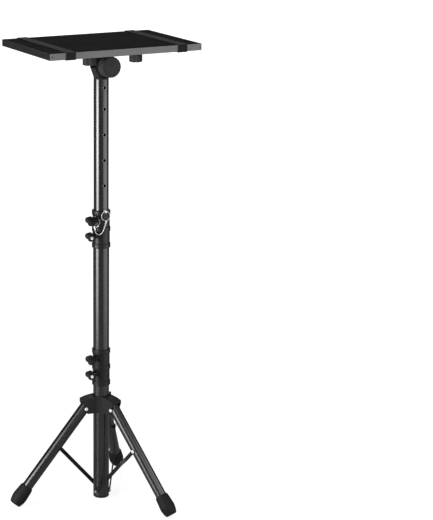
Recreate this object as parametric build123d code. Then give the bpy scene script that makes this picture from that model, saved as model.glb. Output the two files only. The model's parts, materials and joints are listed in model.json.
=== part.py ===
from build123d import *
import os
from math import atan2, cos, degrees, hypot, radians, sin

# A portable projector stand: a pole on three folding legs, a mast that slides in the pole, a tilting tray.
# Millimetres and degrees. The origin is on the floor under the pole, +Z is up, the tray's front faces -Y.

# Fits
FIT_GAP = 0.1  # between pieces that are fixed to each other
TURN_GAP = 0.15  # radial, between a pin and the hole it turns in
SLIDE_GAP = 0.2  # radial, between tubes and sleeves that slide
SIDE_GAP = 0.5  # between flat faces that swing past each other

# Pole, and the cap it stands on
POLE_OD = 40.1
POLE_WALL = 1.3
POLE_TOP = 746.0
CAP_FLANGE = 6.0
CAP_PLUG = 30.0
CAP_EDGE = 2.0

# Mast, and the row of holes down its front and back, counted from the hole that the safety pin faces
MAST_WALL = 1.0
MAST_LENGTH = 545.0
MAST_SHOWN = 328.7  # mast above the pole tube's end
PIN_HOLE_R = 3.6
HEAD_HOLE_DROP = 19.9  # top hole below the mast's end
PIN_HOLE_PITCH = 63.2
PIN_HOLES_ABOVE = 4
PIN_HOLES_BELOW = 1

# Collars, one clamped on the pole's end and one on the leg hub
COLLAR_HEIGHT = 95.0
COLLAR_WALL = 1.2
COLLAR_LIP = 4.0  # lip over the pole tube's end
RIM_COUNT = 3
RIM_STEP = 1.6
RIM_HEIGHT = 12.0
RIM_EDGE = 1.0
BOSS_R = 6.5
BOSS_OUT = 6.0
BOSS_TURN = 25.0  # bosses turned from -X toward the front
BOSS_RISE = 33.0  # lower boss above the collar's lower end
BOSS_DROP = 22.5  # upper boss below the collar's upper end
BOSS_WEB = 8.0
BOSS_WEB_STEP = 0.6
LOWER_COLLAR_Z = 299.5

# Wing knobs, screwed into the bosses: the lower of each pair shows a bright nut at its root
STUD_R = 3.0
STUD_IN_WING = 12.0
NUT_R = 4.2
WING_NECK = 4.6
WING_NECK_R = 6.0
WING_SPAN = 26.0
WING_LENGTH = 19.0
WING_LOBE_R = 7.6
WING_WAIST = 12.0
WING_BEVEL = 3.0
WING_BEVEL_ANGLE = 38.0
LOW_WING_TURN = 57.0
HIGH_WING_TURN = 50.0

# Safety pin, its ring and the lanyard that ties it to a boss
PIN_R = 3.2
PIN_DROP = 0.5  # below the collar's upper end, in a notch there
PIN_EYE_OUT = 3.0  # eye beyond the collar's rim
PIN_EYE_END = 3.2  # pin beyond its eye
PIN_EDGE = 1.0
EYE_HOLE_R = 1.9
WIRE_R = 1.1
PIN_RING_R = 11.2
PIN_RING_LIFT = 0.2  # top of the ring above the eye's middle
BOSS_RING_R = 12.8
BOSS_RING_TURN = 18.0
BOSS_RING_BACK = 2.4  # from the boss's end
WIRE_SIDES = 6
CORD_R = 1.0
CORD_SIDES = 8
CORD_ARC = 0.45  # share of a run that each of its bends may take
FERRULE_R = 1.9
FERRULE_LENGTH = 8.0

# Leg hub: three pressed plates between the legs
HUB_SHEET = 2.0
HUB_GAP = 0.4
HUB_FLANGE_GAP = 0.8
HUB_REACH = 52.0
HUB_FOOT_REACH = 42.0
HUB_BOTTOM = 229.0
HUB_NOTCH = 255.0
HUB_SHOULDER = 263.5
HUB_CREST = 272.0
HUB_BEND = 9.0
HUB_PIVOT_OUT = 24.55  # leg pivot beyond the pole's face
HUB_PIVOT_Z = 242.0

# Legs and their rubber feet
LEG_COUNT = 3
LEG_TURN = 53.1  # bearing of the back leg from +X
LEG_NAMES = ("back", "left", "front")
PLATE_NAMES = ("rear", "front", "right")  # each follows the leg of the same place
LEG_OD = 27.0
LEG_WALL = 1.1
LEG_ANGLE = 38.4  # from the pole
LEG_TOP = 12.0  # tube past the pivot
FOOT_SOLE = 8.0  # rubber under the tube's end
FOOT_LENGTH = 55.0
FOOT_END_STEP = 0.3  # steps are beyond the leg tube's face
FOOT_BULGE_STEP = 5.5
FOOT_BULGE_AT = 24.0
FOOT_SHOULDER_STEP = 3.3
FOOT_SHOULDER_AT = 50.0
FOOT_RIM_STEP = 1.0
FOOT_FLAT = 1.0  # depth of the flat that meets the floor

# Braces from the foot of the pole to the legs
BRACE_WIDTH = 10.0
BRACE_THICK = 2.5
BRACE_LOW_Z = 16.5
BRACE_ON_LEG = 117.0  # from the leg's pivot
BRACE_GAP = 0.4
JOGGLE_AT = 34.0
JOGGLE_RUN = 16.0
GROOVE_WIDTH = 4.0
GROOVE_DEPTH = 0.8
GROOVE_END = 16.0

# Rivets
RIVET_R = 3.0
RIVET_HEAD_R = 4.6
RIVET_CROWN_R = 2.6
RIVET_HEAD = 2.0
RIVET_TAIL = 9.0

# Mast head and the tilting bracket
HEAD_RISE = 34.8  # tilt axis above the mast's end
HEAD_COLLAR = 5.0
HEAD_PLUG = 42.0
HEAD_R = 16.5
HEAD_THICK = 29.0
BOLT_R = 4.0
BOLT_HEX_R = 7.5
BOLT_HEX = 5.5
EAR_THICK = 3.0
EAR_R = 20.0
EAR_WIDTH = 56.0
WEB_THICK = 3.0
WEB_BEND = 3.0
AXIS_TO_TRAY = 39.5

# Tilt knob
KNOB_R = 25.5
KNOB_DISC = 24.0
KNOB_NECK_R = 11.0
KNOB_NECK = 14.5
KNOB_FLUTES = 24
KNOB_FLUTE_R = 1.6
KNOB_DISH_R = 19.5
KNOB_DISH = 1.2
KNOB_EDGE = 1.0
BOLT_IN_KNOB = 30.0

# Tray, its mounting pan and hand screws
TRAY_WIDTH = 400.0
TRAY_DEPTH = 280.0
TRAY_THICK = 16.0
EDGE_BAND = 1.0
EDGE_ROUND = 2.5  # corner radius, in thicknesses of the band
PAN_SHEET = 2.0
PAN_FLANGE = 11.0
PAN_MARGIN = 13.0
PAN_CORNER = 8.0
SCREW_SPAN = 124.0
SCREW_R = 3.0
SCREW_IN_TRAY = 9.0
HAND_R = 16.0
HAND_HEIGHT = 18.0
HAND_NECK_R = 8.0
HAND_DROP = 29.0  # underside of a hand screw below the board
HAND_FLUTES = 6
HAND_FLUTE_R = 5.0
HAND_EDGE = 1.2

# Straps round the tray
STRAP_WIDTH = 25.4
STRAP_THICK = 1.6
STRAP_GAP = 0.2
STRAP_INSET = 53.0  # strap's middle from the tray's side
STRAP_ROUND = 1.4
STRAP_LAP = 95.0

# Lanyard's route, from the pin ring's ferrule round the collar to the boss ring's ferrule
LANYARD_ROUTE = (
    (-0.7, -26.3, 719.3),
    (-2.5, -26.6, 714.0),
    (-4.3, -26.7, 708.8),
    (-6.5, -26.5, 703.6),
    (-9.1, -25.8, 698.7),
    (-12.2, -24.3, 694.4),
    (-15.9, -22.1, 692.2),
    (-19.6, -19.0, 692.6),
    (-22.1, -16.0, 695.6),
    (-23.0, -13.9, 699.9),
    (-23.1, -12.6, 704.5),
)

# Derived places
pole_r = POLE_OD / 2
pole_bore_r = pole_r - POLE_WALL
mast_r = pole_bore_r - SLIDE_GAP
mast_bore_r = mast_r - MAST_WALL
mast_top = POLE_TOP + MAST_SHOWN
tilt_z = mast_top + HEAD_RISE
tray_under = tilt_z + AXIS_TO_TRAY
pan_under = tray_under - PAN_SHEET
collar_bore_r = pole_r + SLIDE_GAP
collar_r = collar_bore_r + COLLAR_WALL
rim_r = collar_r + RIM_STEP
boss_reach = collar_r + BOSS_OUT
upper_collar_z = POLE_TOP + COLLAR_LIP - COLLAR_HEIGHT
boss_heights = (BOSS_RISE, COLLAR_HEIGHT - BOSS_DROP)
pin_z = POLE_TOP + COLLAR_LIP - PIN_DROP
pin_hole_z = [pin_z + PIN_HOLE_PITCH * i for i in range(-PIN_HOLES_BELOW, PIN_HOLES_ABOVE + 1)]
eye_y = rim_r + PIN_EYE_OUT
leg_r = LEG_OD / 2
pivot_r = pole_r + HUB_PIVOT_OUT
flange_in = leg_r + HUB_FLANGE_GAP
flange_out = flange_in + HUB_SHEET
foot_end_r = leg_r + FOOT_END_STEP
leg_drop = HUB_PIVOT_Z - foot_end_r * sin(radians(LEG_ANGLE)) + FOOT_FLAT
leg_length = leg_drop / cos(radians(LEG_ANGLE))
brace_top_r = pivot_r + BRACE_ON_LEG * sin(radians(LEG_ANGLE))
brace_top_z = HUB_PIVOT_Z - BRACE_ON_LEG * cos(radians(LEG_ANGLE))
brace_length = hypot(brace_top_r, brace_top_z - BRACE_LOW_Z)
brace_angle = degrees(atan2(brace_top_r, brace_top_z - BRACE_LOW_Z))
brace_low_in = pole_r + BRACE_GAP
brace_top_in = leg_r + BRACE_GAP
ear_in = HEAD_THICK / 2 + SIDE_GAP
ear_out = ear_in + EAR_THICK
leg_bearings = [LEG_TURN + 360 / LEG_COUNT * i for i in range(LEG_COUNT)]

ON_BASE = (Align.CENTER, Align.CENTER, Align.MIN)
UNDER_TOP = (Align.CENTER, Align.CENTER, Align.MAX)
ALONG_FRONT = Rot(90, 0, 0)  # turns +Z to -Y
ALONG_LEFT = Rot(0, -90, 0)  # turns +Z to -X
ALONG_BOSS = Rot(0, 0, BOSS_TURN) * ALONG_LEFT


def rod(radius, length):
    return Cylinder(radius, length, align=ON_BASE)


def pipe(outer, inner, length):
    return rod(outer, length) - rod(inner, length)


def cross_hole(radius, reach):
    """A round hole through the Z axis, along Y."""
    return ALONG_FRONT * Cylinder(radius, reach * 2)


def wire_ring(radius, wire):
    """A ring of few-sided wire about the Z axis."""
    section = Plane.XZ * Pos(radius, 0, 0) * RegularPolygon(wire, WIRE_SIDES)
    return revolve(section, Axis.Z)


def rivet_head():
    """A crowned head, its seat on the XY plane, rising along +Z."""
    return Cone(RIVET_HEAD_R, RIVET_CROWN_R, RIVET_HEAD, align=ON_BASE)


def end_cap():
    flange = rod(pole_r, CAP_FLANGE)
    flange = chamfer(flange.edges().group_by(Axis.Z)[0], CAP_EDGE)
    plug = Pos(0, 0, CAP_FLANGE) * rod(pole_bore_r - FIT_GAP, CAP_PLUG)
    cap = flange + plug
    for bearing in leg_bearings:
        cap -= Rot(0, 0, bearing) * pole_rivet_hole()
    return cap


def pole_rivet_hole():
    return Pos(0, 0, BRACE_LOW_Z) * ALONG_FRONT * rod(RIVET_R + FIT_GAP, pole_r * 2)


def pole_tube():
    tube = Pos(0, 0, CAP_FLANGE) * pipe(pole_r, pole_bore_r, POLE_TOP - CAP_FLANGE)
    for bearing in leg_bearings:
        tube -= Rot(0, 0, bearing) * pole_rivet_hole()
    for height in boss_heights:
        tube -= Pos(0, 0, upper_collar_z + height) * ALONG_BOSS * rod(STUD_R + TURN_GAP, pole_r * 2)
    return tube


def pole_rivets():
    """One rivet for each brace, on the clockwise side of its leg."""
    inner = pole_r - RIVET_TAIL
    seat = brace_low_in + BRACE_THICK + FIT_GAP
    rivet = Pos(0, 0, inner) * rod(RIVET_R, seat - inner) + Pos(0, 0, seat) * rivet_head()
    rivet = Pos(0, 0, BRACE_LOW_Z) * ALONG_FRONT * rivet
    return [Rot(0, 0, bearing) * rivet for bearing in leg_bearings]


def collar_sleeve():
    """The moulding that both collars share: a ribbed sleeve with two screw bosses on the front left."""
    sleeve = rod(collar_r, COLLAR_HEIGHT)
    rim = rod(rim_r, RIM_HEIGHT)
    rim = chamfer(rim.edges().filter_by(GeomType.CIRCLE), RIM_EDGE)
    for step in range(RIM_COUNT):
        sleeve += Pos(0, 0, step * (COLLAR_HEIGHT - RIM_HEIGHT) / (RIM_COUNT - 1)) * rim
    low, high = boss_heights
    web = Box(collar_r + BOSS_WEB_STEP, BOSS_WEB, high - low, align=(Align.MAX, Align.CENTER, Align.MIN))
    sleeve += Pos(0, 0, low) * Rot(0, 0, BOSS_TURN) * web
    for height in boss_heights:
        sleeve += Pos(0, 0, height) * ALONG_BOSS * rod(BOSS_R, boss_reach)
    sleeve -= rod(collar_bore_r, COLLAR_HEIGHT)
    for height in boss_heights:
        sleeve -= Pos(0, 0, height) * ALONG_BOSS * rod(STUD_R + TURN_GAP, boss_reach)
    return sleeve


def upper_collar():
    """The sleeve on the pole's end: its lip closes on the mast, and a notch in front takes the safety pin."""
    lip = pipe(collar_r, mast_r + SLIDE_GAP, COLLAR_LIP - FIT_GAP)
    collar = collar_sleeve() + Pos(0, 0, COLLAR_HEIGHT - COLLAR_LIP + FIT_GAP) * lip
    width = (PIN_R + FIT_GAP) * 2
    notch = Circle(width / 2) + Pos(0, COLLAR_LIP / 2) * Rectangle(width, COLLAR_LIP)
    notch = extrude(Plane.XZ * notch, rim_r * 2)
    return Pos(0, 0, upper_collar_z) * (collar - Pos(0, 0, COLLAR_HEIGHT - PIN_DROP) * notch)


def lower_collar():
    return Pos(0, 0, LOWER_COLLAR_Z) * collar_sleeve()


def wing(necked):
    """A wing knob's grip: seat on the XY plane, the screw's axis along +Z, two thick lobes and a waist."""
    lobes = [Pos(side * (WING_SPAN / 2 - WING_LOBE_R)) * Circle(WING_LOBE_R) for side in (-1, 1)]
    outline = Rectangle(WING_SPAN - 2 * WING_LOBE_R, WING_WAIST) + lobes
    middle = WING_LENGTH - 2 * WING_BEVEL
    bevel = extrude(outline, WING_BEVEL, taper=WING_BEVEL_ANGLE)
    grip = Pos(0, 0, WING_BEVEL) * extrude(outline, middle)
    grip += Pos(0, 0, WING_BEVEL + middle) * bevel
    grip += Pos(0, 0, WING_BEVEL) * Rot(180, 0, 0) * bevel
    grip = Pos(0, 0, WING_NECK) * grip
    if necked:
        grip += rod(WING_NECK_R, WING_NECK + WING_BEVEL)
    return grip - rod(STUD_R + FIT_GAP, WING_NECK + STUD_IN_WING + FIT_GAP)


def knob_place(collar_z, height):
    """Where a wing knob's seat lies: against its boss, the axis pointing out."""
    return Pos(0, 0, collar_z + height) * ALONG_BOSS * Pos(0, 0, boss_reach + SIDE_GAP)


def stud(tip_r, with_nut):
    """A wing knob's steel stud, from its tip by the clamped tube to its end inside the grip."""
    back = boss_reach + SIDE_GAP - tip_r
    shaft = Pos(0, 0, -back) * rod(STUD_R, back + WING_NECK + STUD_IN_WING)
    if with_nut:
        shaft += rod(NUT_R, WING_NECK - FIT_GAP)
    return shaft


def safety_pin():
    """The pin in the collar's notch, drawn back clear of the mast, with an eye across its outer end."""
    tip = mast_r + SIDE_GAP
    pin = Pos(0, 0, tip) * rod(PIN_R, eye_y + PIN_EYE_END - tip)
    pin = chamfer(pin.edges().group_by(Axis.Z)[-1], PIN_EDGE)
    pin -= Pos(0, 0, eye_y) * Rot(0, 90, 0) * Cylinder(EYE_HOLE_R, PIN_R * 2)
    return Pos(0, 0, pin_z) * ALONG_FRONT * pin


def pin_ring_z():
    return pin_z + PIN_RING_LIFT - PIN_RING_R


def pin_ring():
    return Pos(0, -eye_y, pin_ring_z()) * ALONG_FRONT * wire_ring(PIN_RING_R, WIRE_R)


def boss_ring():
    """The lanyard's other ring hangs on the upper boss, turned a little toward the front."""
    boss_z = upper_collar_z + boss_heights[1]
    drop = BOSS_RING_R - BOSS_R - SIDE_GAP - WIRE_R
    hook = Pos(0, 0, boss_z - drop) * Rot(0, 0, BOSS_TURN) * Pos(BOSS_RING_BACK - boss_reach, 0, 0)
    return hook * Rot(0, 0, BOSS_RING_TURN) * ALONG_LEFT * wire_ring(BOSS_RING_R, WIRE_R)


def lanyard():
    """The lanyard, a plain tube of straight runs and tangent arcs along its route."""
    points = [Vector(*point) for point in LANYARD_ROUTE]
    runs = [b - a for a, b in zip(points, points[1:])]
    radii = []
    for a, b in zip(runs, runs[1:]):
        half_turn = radians(a.get_angle(b)) / 2
        radii.append(CORD_ARC * min(a.length, b.length) * cos(half_turn) / sin(half_turn))
    path = FilletPolyline(*points, radius=radii)
    section = RegularPolygon(CORD_R, CORD_SIDES)
    tube = sweep(Plane(path @ 0, z_dir=path % 0) * section, path)
    print("lanyard radii", [round(r, 1) for r in radii], "length", round(path.length, 1))
    print("lanyard volume ratio", round(tube.volume / (section.area * path.length), 4))
    return tube


def ferrules():
    """The crimps that close the lanyard on its two rings."""
    crimps = []
    for end, inner in ((0, 1), (-1, -2)):
        start = Vector(*LANYARD_ROUTE[end])
        up = (start - Vector(*LANYARD_ROUTE[inner])).normalized()
        crimp = Plane(start, z_dir=up) * rod(FERRULE_R, FERRULE_LENGTH)
        crimps.append(crimp)
    return crimps


def hub_plate():
    """A pressed plate, bent round the pole between two legs, its middle toward +Y."""
    half = radians(180 / LEG_COUNT)
    middle = pole_r + HUB_GAP

    def face(offset):
        start = (middle + offset - (flange_in + offset) * sin(half)) / cos(half)
        bend_x = start * sin(half) - (flange_in + offset) * cos(half)
        end_x = HUB_REACH * sin(half) - (flange_in + offset) * cos(half)
        end_y = HUB_REACH * cos(half) + (flange_in + offset) * sin(half)
        right = [(bend_x, middle + offset), (end_x, end_y)]
        return [(-x, y) for x, y in reversed(right)] + right

    inner = FilletPolyline(*face(0), radius=HUB_BEND + HUB_SHEET)
    outer = FilletPolyline(*face(HUB_SHEET), radius=HUB_BEND)
    strip = make_face([inner, outer, Line(inner @ 0, outer @ 0), Line(inner @ 1, outer @ 1)])
    wide = HUB_REACH * sin(half) - flange_out * cos(half)
    foot = HUB_FOOT_REACH * sin(half) - flange_out * cos(half)
    crest = ThreePointArc((-wide, HUB_SHOULDER), (0, HUB_CREST), (wide, HUB_SHOULDER))
    sides = Polyline(
        (wide, HUB_SHOULDER),
        (wide, HUB_NOTCH),
        (foot, HUB_BOTTOM),
        (-foot, HUB_BOTTOM),
        (-wide, HUB_NOTCH),
        (-wide, HUB_SHOULDER),
    )
    outline = Plane.XZ * make_face([crest, sides])
    plate = Pos(0, 0, HUB_BOTTOM) * extrude(strip, HUB_CREST - HUB_BOTTOM)
    plate &= extrude(outline, HUB_REACH * 2, both=True)
    for side in (-1, 1):
        leg_place = Rot(0, 0, 90 + side * degrees(half)) * Pos(pivot_r, 0, HUB_PIVOT_Z)
        plate -= leg_place * cross_hole(RIVET_R + FIT_GAP, flange_out * 2)
    return plate


def hub_rivets():
    """One rivet through each pair of hub flanges, on which the leg swings."""
    seat = flange_out + FIT_GAP
    rivet = Cylinder(RIVET_R, seat * 2)
    rivet += Pos(0, 0, seat) * rivet_head()
    rivet += Rot(180, 0, 0) * Pos(0, 0, seat) * rivet_head()
    rivet = Pos(pivot_r, 0, HUB_PIVOT_Z) * ALONG_FRONT * rivet
    return [Rot(0, 0, bearing) * rivet for bearing in leg_bearings]


def leg_place(bearing):
    """A leg's own frame: the origin on its pivot, the tube running down along -Z."""
    return Rot(0, 0, bearing) * Pos(pivot_r, 0, HUB_PIVOT_Z) * Rot(0, -LEG_ANGLE, 0)


def leg_tube(bearing):
    end = leg_length - FOOT_SOLE
    tube = Pos(0, 0, -end) * pipe(leg_r, leg_r - LEG_WALL, end + LEG_TOP)
    tube -= cross_hole(RIVET_R + TURN_GAP, leg_r * 2)
    return leg_place(bearing) * tube


def leg_foot(bearing):
    """A barrel-shaped rubber boot, its lower rim worn flat by the floor."""
    bulge = (leg_r + FOOT_BULGE_STEP, FOOT_BULGE_AT)
    shoulder = (leg_r + FOOT_SHOULDER_STEP, FOOT_SHOULDER_AT)
    rim = (leg_r + FOOT_RIM_STEP, FOOT_LENGTH)
    lower = TangentArc(bulge, (foot_end_r, 0), tangent=(0, -1))
    rest = Polyline(bulge, shoulder, rim, (0, FOOT_LENGTH), (0, 0), (foot_end_r, 0))
    boot = revolve(Plane.XZ * make_face([lower, rest]), Axis.Z)
    boot -= Pos(0, 0, FOOT_SOLE - FIT_GAP) * rod(leg_r + FIT_GAP, FOOT_LENGTH)
    boot = leg_place(bearing) * Pos(0, 0, -leg_length) * boot
    above_floor = Box(leg_length * 4, leg_length * 4, leg_length, align=ON_BASE)
    return boot & above_floor


def brace_place(bearing):
    """A brace's own frame: the origin on its lower rivet's line, the strip along +Z, the pole toward +Y."""
    return Rot(0, 0, bearing) * Pos(0, 0, BRACE_LOW_Z) * Rot(0, brace_angle, 0)


def brace(bearing):
    """A flat strip, joggled in from the pole's side to the leg's, with a pressed stiffening groove."""
    end = BRACE_WIDTH / 2
    knee = brace_length - JOGGLE_AT
    run = (
        (brace_low_in, -end),
        (brace_low_in, knee - JOGGLE_RUN),
        (brace_top_in, knee),
        (brace_top_in, brace_length + end),
    )
    near = [(-offset, along) for offset, along in run]
    far = [(-offset - BRACE_THICK, along) for offset, along in reversed(run)]
    strip = extrude(Plane.YZ * Polygon(*near, *far, align=None), BRACE_WIDTH, both=True)
    plan = Pos(0, brace_length / 2) * Rot(0, 0, 90) * SlotCenterToCenter(brace_length, BRACE_WIDTH)
    strip &= extrude(Plane.XZ * plan, POLE_OD, both=True)
    groove_top = knee - JOGGLE_RUN - GROOVE_END
    groove = Rot(0, 0, 90) * SlotOverall(groove_top - GROOVE_END, GROOVE_WIDTH)
    groove = extrude(Plane.XZ * groove, GROOVE_DEPTH, both=True)
    strip -= Pos(0, -brace_low_in - BRACE_THICK, (groove_top + GROOVE_END) / 2) * groove
    for along in (0, brace_length):
        strip -= Pos(0, 0, along) * cross_hole(RIVET_R + TURN_GAP, POLE_OD)
    return brace_place(bearing) * strip


def brace_rivet(bearing):
    """The rivet at a brace's upper end: its shank is as long as the strip is thick."""
    seat = brace_top_in + BRACE_THICK
    rivet = Pos(0, 0, brace_top_in) * rod(RIVET_R, BRACE_THICK + FIT_GAP)
    rivet += Pos(0, 0, seat + FIT_GAP) * rivet_head()
    return brace_place(bearing) * Pos(0, 0, brace_length) * ALONG_FRONT * rivet


def mast_tube():
    tube = Pos(0, 0, mast_top - MAST_LENGTH) * pipe(mast_r, mast_bore_r, MAST_LENGTH)
    for z in [mast_top - HEAD_HOLE_DROP] + pin_hole_z:
        tube -= Pos(0, 0, z) * cross_hole(PIN_HOLE_R, POLE_OD)
    return tube


def mast_head():
    """A plug in the mast's end with a round-topped tongue for the tilt bolt."""
    tongue = Circle(HEAD_R) + Pos(0, -HEAD_RISE / 2, 0) * Rectangle(HEAD_R * 2, HEAD_RISE)
    tongue = extrude(Plane.XZ * tongue, HEAD_THICK / 2, both=True)
    tongue &= Pos(0, 0, -HEAD_RISE) * rod(HEAD_R, HEAD_RISE + HEAD_R)
    tongue -= cross_hole(BOLT_R + TURN_GAP, HEAD_THICK)
    shoulder = rod(mast_r, HEAD_COLLAR)
    shoulder = chamfer(shoulder.edges().group_by(Axis.Z)[-1], RIM_EDGE)
    plug = rod(mast_bore_r - FIT_GAP, HEAD_PLUG)
    plug -= Pos(0, 0, HEAD_PLUG - HEAD_HOLE_DROP) * cross_hole(PIN_HOLE_R, POLE_OD)
    head = Pos(0, 0, mast_top) * shoulder + Pos(0, 0, mast_top - HEAD_PLUG) * plug
    return head + Pos(0, 0, tilt_z) * tongue


def tilt_bolt():
    """The bolt through the ears and the head, its hexagon at the back."""
    back = ear_out + FIT_GAP
    front = ear_out + SIDE_GAP + BOLT_IN_KNOB
    bolt = Pos(0, 0, -back) * rod(BOLT_R, back + front)
    bolt += Pos(0, 0, -back - BOLT_HEX) * extrude(RegularPolygon(BOLT_HEX_R, 6), BOLT_HEX)
    return Pos(0, 0, tilt_z) * ALONG_FRONT * bolt


def tilt_knob():
    """A fluted disc on a neck, its seat against the front ear and its dished face to the front."""
    disc = rod(KNOB_R, KNOB_DISC)
    disc = chamfer(disc.edges().filter_by(GeomType.CIRCLE), KNOB_EDGE)
    flute = rod(KNOB_FLUTE_R, KNOB_DISC)
    disc -= [place * flute for place in PolarLocations(KNOB_R + KNOB_FLUTE_R / 2, KNOB_FLUTES)]
    disc -= Pos(0, 0, KNOB_DISC - KNOB_DISH) * rod(KNOB_DISH_R, KNOB_DISH)
    knob = rod(KNOB_NECK_R, KNOB_NECK) + Pos(0, 0, KNOB_NECK) * disc
    knob -= rod(BOLT_R + FIT_GAP, BOLT_IN_KNOB + FIT_GAP)
    return Pos(0, -ear_out - SIDE_GAP, tilt_z) * ALONG_FRONT * knob


def tilt_bracket():
    """A channel folded from sheet: a web under the pan and two tapered, round-ended ears."""
    web_top = pan_under - tilt_z
    ear = Circle(EAR_R) + Polygon(
        (-EAR_R, 0),
        (EAR_R, 0),
        (EAR_WIDTH / 2, web_top),
        (-EAR_WIDTH / 2, web_top),
        align=None,
    )
    block = extrude(Plane.XZ * ear, ear_out, both=True)
    top_edges = [e for e in block.edges().filter_by(Axis.X) if e.center().Z > web_top - FIT_GAP]
    block = fillet(top_edges, WEB_BEND)
    room = Box(EAR_WIDTH * 2, ear_in * 2, web_top + EAR_R - WEB_THICK, align=ON_BASE)
    channel = block - Pos(0, 0, -EAR_R) * room
    channel -= cross_hole(BOLT_R + TURN_GAP, ear_out * 2)
    return Pos(0, 0, tilt_z) * channel


def screw_places():
    return GridLocations(SCREW_SPAN, SCREW_SPAN, 2, 2)


def mount_pan():
    """A square pan of sheet, its edge turned down, screwed to the board's underside."""
    size = SCREW_SPAN + PAN_MARGIN * 2
    pan = Box(size, size, PAN_FLANGE, align=UNDER_TOP)
    pan = fillet(pan.edges().filter_by(Axis.Z), PAN_CORNER)
    inner = Box(size - PAN_SHEET * 2, size - PAN_SHEET * 2, PAN_FLANGE, align=UNDER_TOP)
    inner = fillet(inner.edges().filter_by(Axis.Z), PAN_CORNER - PAN_SHEET)
    pan -= Pos(0, 0, -PAN_SHEET) * inner
    pan -= [place * Cylinder(SCREW_R + FIT_GAP, PAN_FLANGE) for place in screw_places()]
    return Pos(0, 0, tray_under) * pan


def tray_board():
    board = Box(TRAY_WIDTH - 2 * EDGE_BAND, TRAY_DEPTH - 2 * EDGE_BAND, TRAY_THICK, align=ON_BASE)
    hole = rod(SCREW_R + FIT_GAP, SCREW_IN_TRAY + FIT_GAP)
    return Pos(0, 0, tray_under) * (board - [place * hole for place in screw_places()])


def tray_edge_band():
    """The band glued round the board's edge."""
    band = Box(TRAY_WIDTH, TRAY_DEPTH, TRAY_THICK, align=ON_BASE)
    band = fillet(band.edges().filter_by(Axis.Z), EDGE_BAND * EDGE_ROUND)
    band -= Box(TRAY_WIDTH - 2 * EDGE_BAND, TRAY_DEPTH - 2 * EDGE_BAND, TRAY_THICK, align=ON_BASE)
    return Pos(0, 0, tray_under) * band


def tray_screws():
    """Four hand screws that hold the pan to the board."""
    grip = rod(HAND_R, HAND_HEIGHT)
    grip = chamfer(grip.edges().filter_by(GeomType.CIRCLE), HAND_EDGE)
    flute = rod(HAND_FLUTE_R, HAND_HEIGHT)
    grip -= [place * flute for place in PolarLocations(HAND_R + HAND_FLUTE_R / 2, HAND_FLUTES)]
    screw = grip + rod(HAND_NECK_R, HAND_DROP - PAN_SHEET - FIT_GAP)
    screw += rod(SCREW_R, HAND_DROP + SCREW_IN_TRAY)
    return [Pos(0, 0, tray_under - HAND_DROP) * place * screw for place in screw_places()]


def strap(x):
    """A webbing band round the board, its ends lapped underneath."""
    inside_depth = TRAY_DEPTH + 2 * STRAP_GAP
    inside_height = TRAY_THICK + 2 * STRAP_GAP
    outer = Rectangle(inside_depth + 2 * STRAP_THICK, inside_height + 2 * STRAP_THICK)
    outer = fillet(outer.vertices(), STRAP_ROUND)
    band = outer - Rectangle(inside_depth, inside_height)
    lap_drop = (inside_height + 3 * STRAP_THICK) / 2
    band += Pos(0, -lap_drop) * Rectangle(STRAP_LAP, STRAP_THICK)
    band = extrude(Plane.YZ * band, STRAP_WIDTH / 2, both=True)
    return Pos(x, 0, tray_under + TRAY_THICK / 2) * band


def save(node, shape):
    """Writes one node; a list of solids that don't touch shares a node."""
    if isinstance(shape, list):
        shape = Compound(children=[solid for piece in shape for solid in piece.solids()])
    export_step(shape, f"parts/{node}.step")


def build_pole():
    save("pole_tube", pole_tube())
    save("pole_end_cap", end_cap())
    save("pole_rivets", pole_rivets())
    save("upper_collar", upper_collar())
    save("safety_pin", safety_pin())
    save("pin_ring", pin_ring())
    save("boss_ring", boss_ring())
    save("lanyard", lanyard())
    save("lanyard_ferrules", ferrules())


def build_hub():
    for name, bearing in zip(PLATE_NAMES, leg_bearings):
        save(f"hub_plate_{name}", Rot(0, 0, bearing + 180 / LEG_COUNT - 90) * hub_plate())
    save("hub_rivets", hub_rivets())
    save("lower_collar", lower_collar())


def build_legs():
    for name, bearing in zip(LEG_NAMES, leg_bearings):
        save(f"leg_{name}_tube", leg_tube(bearing))
        save(f"leg_{name}_foot", leg_foot(bearing))
        save(f"brace_{name}", brace(bearing))
        save(f"brace_{name}_rivet", brace_rivet(bearing))


def build_wing_knobs():
    collars = (("upper", upper_collar_z, mast_r + SIDE_GAP), ("lower", LOWER_COLLAR_Z, pole_r + SIDE_GAP))
    for collar, collar_z, tip_r in collars:
        for place, height, turn in zip(("low", "high"), boss_heights, (LOW_WING_TURN, HIGH_WING_TURN)):
            seat = knob_place(collar_z, height) * Rot(0, 0, turn)
            save(f"{collar}_{place}_wing", seat * wing(necked=place == "high"))
            save(f"{collar}_{place}_stud", seat * stud(tip_r, with_nut=place == "low"))


def build_tray():
    save("mast_tube", mast_tube())
    save("mast_head", mast_head())
    save("tilt_bolt", tilt_bolt())
    save("tilt_knob", tilt_knob())
    save("tilt_bracket", tilt_bracket())
    save("mount_pan", mount_pan())
    save("tray_board", tray_board())
    save("tray_edge_band", tray_edge_band())
    save("tray_screws", tray_screws())
    for name, side in (("left", -1), ("right", 1)):
        save(f"strap_{name}", strap(side * (TRAY_WIDTH / 2 - STRAP_INSET)))


os.makedirs("parts", exist_ok=True)
build_pole()
build_hub()
build_legs()
build_wing_knobs()
build_tray()
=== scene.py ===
import json
import math

import bmesh
import bpy
from mathutils import Matrix, Vector

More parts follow.
